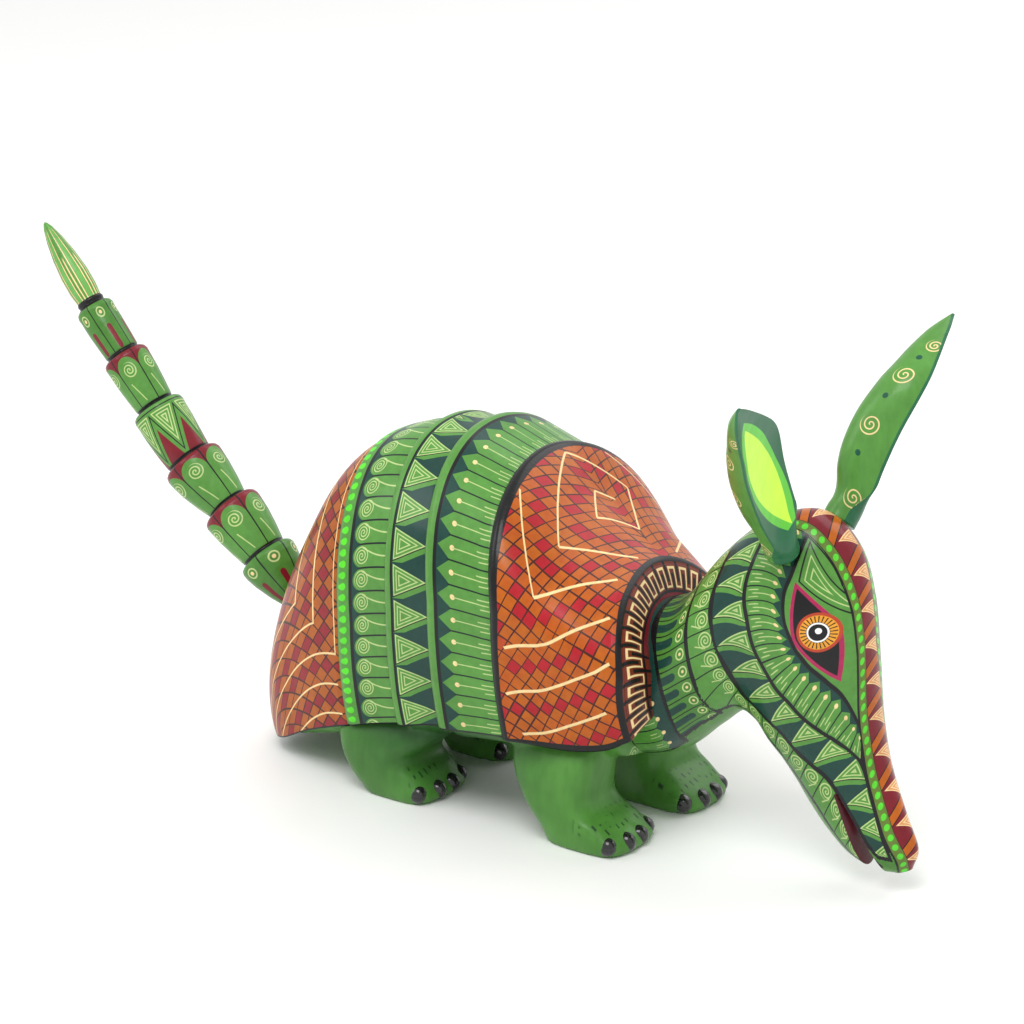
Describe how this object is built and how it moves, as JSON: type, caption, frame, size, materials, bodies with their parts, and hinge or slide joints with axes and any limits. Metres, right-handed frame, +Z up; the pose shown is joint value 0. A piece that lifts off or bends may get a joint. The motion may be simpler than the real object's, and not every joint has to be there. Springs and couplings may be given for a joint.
{
  "type": "alebrije figure",
  "caption": "Carved and painted wooden armadillo figure with a banded shell, a long snout, plug-in leaf-shaped ears and a plug-in ringed tail.",
  "frame": {"origin": "on the ground under the middle of the figure's bounding box", "axes": "+X towards the head, +Y towards the figure's left side, +Z up"},
  "size_m": [0.3575, 0.1261, 0.1699],
  "materials": {
    "body_paint": "satin acrylic paint on carved wood",
    "ear_paint": "satin acrylic paint on carved wood",
    "tail_paint": "satin acrylic paint on carved wood",
    "peg_wood": "bare turned wood"
  },
  "bodies": {
    "carving": {"body": "body_paint"},
    "right_ear_peg": {"ear_peg_right": "peg_wood"},
    "right_ear": {"ear_right": "ear_paint"},
    "left_ear_peg": {"ear_peg_left": "peg_wood"},
    "left_ear": {"ear_left": "ear_paint"},
    "tail_root_peg": {"tail_peg": "peg_wood"},
    "tail": {"tail": "tail_paint"}
  },
  "joints": [
    {"name": "right_ear_pull", "type": "slide", "parent": "carving", "child": "right_ear_peg", "axis": [0.1544, -0.6055, 0.7808], "range_m": [0, 0.022]},
    {"name": "right_ear_turn", "type": "hinge", "parent": "right_ear_peg", "child": "right_ear", "pos_m": [0.1371, -0.0165, 0.1105], "axis": [0.1544, -0.6055, 0.7808], "range_deg": [-20, 20]},
    {"name": "left_ear_pull", "type": "slide", "parent": "carving", "child": "left_ear_peg", "axis": [0.1544, 0.6055, 0.7808], "range_m": [0, 0.022]},
    {"name": "left_ear_turn", "type": "hinge", "parent": "left_ear_peg", "child": "left_ear", "pos_m": [0.1371, 0.0165, 0.1105], "axis": [0.1544, 0.6055, 0.7808], "range_deg": [-20, 20]},
    {"name": "tail_pull", "type": "slide", "parent": "carving", "child": "tail_root_peg", "axis": [-0.7147, 0, 0.6994], "range_m": [0, 0.03]},
    {"name": "tail_turn", "type": "hinge", "parent": "tail_root_peg", "child": "tail", "pos_m": [-0.06331, 0, 0.0407], "axis": [-0.7147, 0, 0.6994], "range_deg": [-30, 30]}
  ]
}
